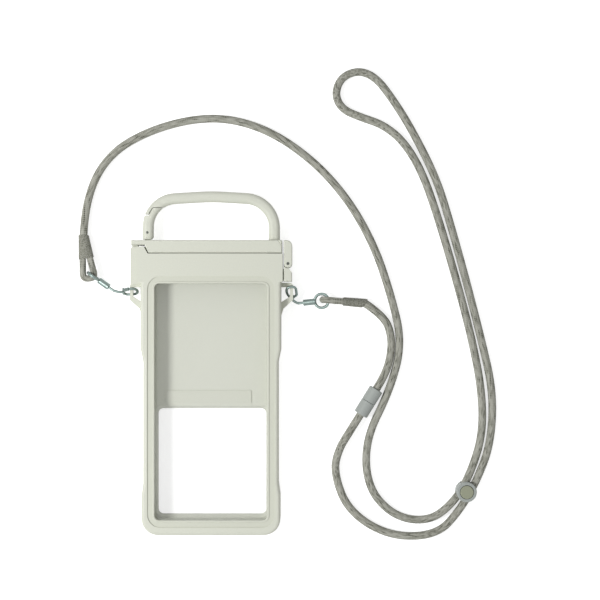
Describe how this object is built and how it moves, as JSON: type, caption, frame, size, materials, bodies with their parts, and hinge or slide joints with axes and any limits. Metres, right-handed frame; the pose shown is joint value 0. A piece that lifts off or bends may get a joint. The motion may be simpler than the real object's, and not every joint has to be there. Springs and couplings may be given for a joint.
{
  "type": "waterproof phone case",
  "caption": "Clear-window waterproof phone case with a latched swing lid, a gated carry handle and a clip-on adjustable neck lanyard",
  "frame": {"origin": "on the back of the case at the middle of its body, the point the case rests on", "axes": "+X towards the latch side, +Y towards the handle, +Z out of the front window"},
  "size_m": [0.3185, 0.3601, 0.02],
  "materials": {
    "shell": "fine satin, pale sage ivory",
    "bezel": "fine satin, pale sage ivory",
    "film": "clear flexible film",
    "seal": "soft grey seal",
    "pin_steel": "dark drawn steel",
    "hook_metal": "grey-green plated metal",
    "cord": "braided cord, grey olive with darker flecks",
    "fitting": "grey moulded plastic"
  },
  "bodies": {
    "case": {"front_frame": "shell", "back_frame": "shell", "frame_seal": "seal", "front_bezel": "bezel", "front_window_gasket": "seal", "front_window": "film", "back_window": "film", "back_bezel": "bezel", "back_pad": "bezel", "hinge_pin": "pin_steel", "latch_bracket": "shell", "latch_pin": "pin_steel", "left_end_loop": "cord", "right_end_loop": "cord", "left_whipping": "cord", "right_whipping": "cord", "lanyard_cord": "cord", "lanyard_short_cord": "cord", "buckle_plug": "fitting", "buckle_socket": "fitting", "lock_body": "fitting", "left_hook": "hook_metal", "right_hook": "hook_metal"},
    "lid": {"lid": "shell", "lid_seal": "seal", "handle_bow": "shell"},
    "latch": {"latch_lever": "shell"},
    "handle_gate": {"handle_gate": "shell", "gate_pin": "pin_steel"},
    "left_gate": {"left_hook_gate": "hook_metal"},
    "right_gate": {"right_hook_gate": "hook_metal"},
    "left_eye": {"left_swivel_eye": "hook_metal"},
    "right_eye": {"right_swivel_eye": "hook_metal"},
    "button": {"lock_button": "fitting", "lock_spring": "pin_steel"}
  },
  "joints": [
    {"name": "lid_hinge", "type": "hinge", "parent": "case", "child": "lid", "pos_m": [-0.0576, 0.10275, 0.01], "axis": [0, 0, 1], "range_deg": [0, 55]},
    {"name": "latch_hinge", "type": "hinge", "parent": "case", "child": "latch", "pos_m": [0.0579, 0.0934, 0.01], "axis": [0, 0, -1], "range_deg": [0, 80]},
    {"name": "handle_gate_hinge", "type": "hinge", "parent": "lid", "child": "handle_gate", "pos_m": [-0.0483, 0.117, 0.01], "axis": [0, 0, -1], "range_deg": [0, 20], "stiffness_Nm_per_rad": 0.02},
    {"name": "left_gate_hinge", "type": "hinge", "parent": "case", "child": "left_gate", "pos_m": [-0.0669, 0.07312, 0.01111], "axis": [-0.0129, 0.8196, -0.5728], "range_deg": [0, 25], "stiffness_Nm_per_rad": 0.001},
    {"name": "left_swivel", "type": "hinge", "parent": "case", "child": "left_eye", "pos_m": [-0.08958, 0.08372, 0.00762], "axis": [0.816, -0.5714, 0.0872], "range_deg": [-6, 6]},
    {"name": "right_gate_hinge", "type": "hinge", "parent": "case", "child": "right_gate", "pos_m": [0.05932, 0.06791, 0.00604], "axis": [-0.0931, 0.6626, -0.7431], "range_deg": [0, 9], "stiffness_Nm_per_rad": 0.001},
    {"name": "right_swivel", "type": "hinge", "parent": "case", "child": "right_eye", "pos_m": [0.08337, 0.06533, 0.00667], "axis": [-0.9762, -0.1026, -0.1908], "range_deg": [-6, 6]},
    {"name": "lock_press", "type": "slide", "parent": "case", "child": "button", "axis": [0, 0, -1], "range_m": [0, 0.001], "stiffness_N_per_m": 800, "deforming": ["lock_spring"]}
  ]
}
